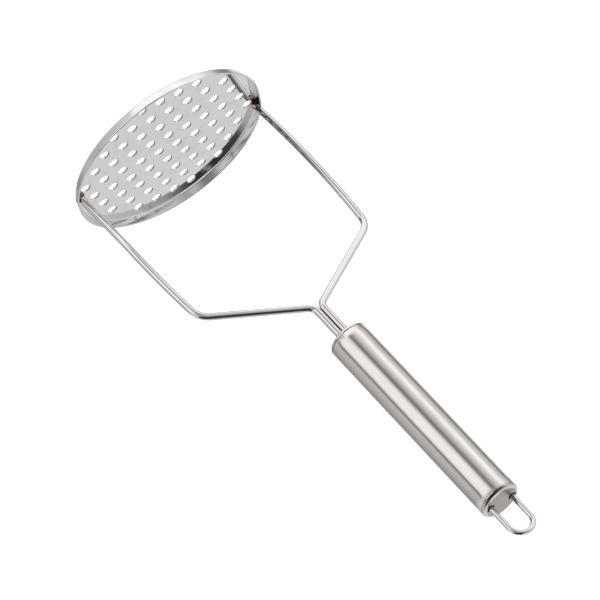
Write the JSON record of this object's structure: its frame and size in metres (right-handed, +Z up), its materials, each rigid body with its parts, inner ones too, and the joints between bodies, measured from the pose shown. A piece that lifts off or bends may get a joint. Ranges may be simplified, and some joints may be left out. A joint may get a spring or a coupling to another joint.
{
  "type": "potato masher",
  "caption": "Round perforated mashing plate on two bent frame wires that meet in a hollow tube handle with a sliding hanging loop at its end.",
  "frame": {"origin": "centre of the mashing plate, on the surface that its flat ring stands on", "axes": "+Z up out of the pan, +X from the left wire foot to the right wire foot; the handle leans 7.5 degrees towards +Y and 2 degrees towards +X"},
  "size_m": [0.102, 0.1, 0.2599],
  "materials": {
    "polished_sheet": "mirror polished stainless sheet",
    "polished_wire": "polished stainless wire",
    "weld": "heat-tinted weld bead",
    "brushed_tube": "fine brushed stainless tube",
    "satin_cap": "satin stainless cap"
  },
  "bodies": {
    "masher": {"mashing_plate": "polished_sheet", "frame_wire_left": "polished_wire", "frame_wire_right": "polished_wire", "foot_weld_left": "weld", "foot_weld_right": "weld", "handle_tube": "brushed_tube", "front_cap": "brushed_tube", "neck_weld": "weld", "rear_cap": "satin_cap"},
    "loop": {"hanging_loop": "polished_wire"}
  },
  "joints": [
    {"name": "loop_slide", "type": "slide", "parent": "masher", "child": "loop", "axis": [0.0346, 0.1305, 0.9908], "range_m": [-0.0115, 0]}
  ]
}
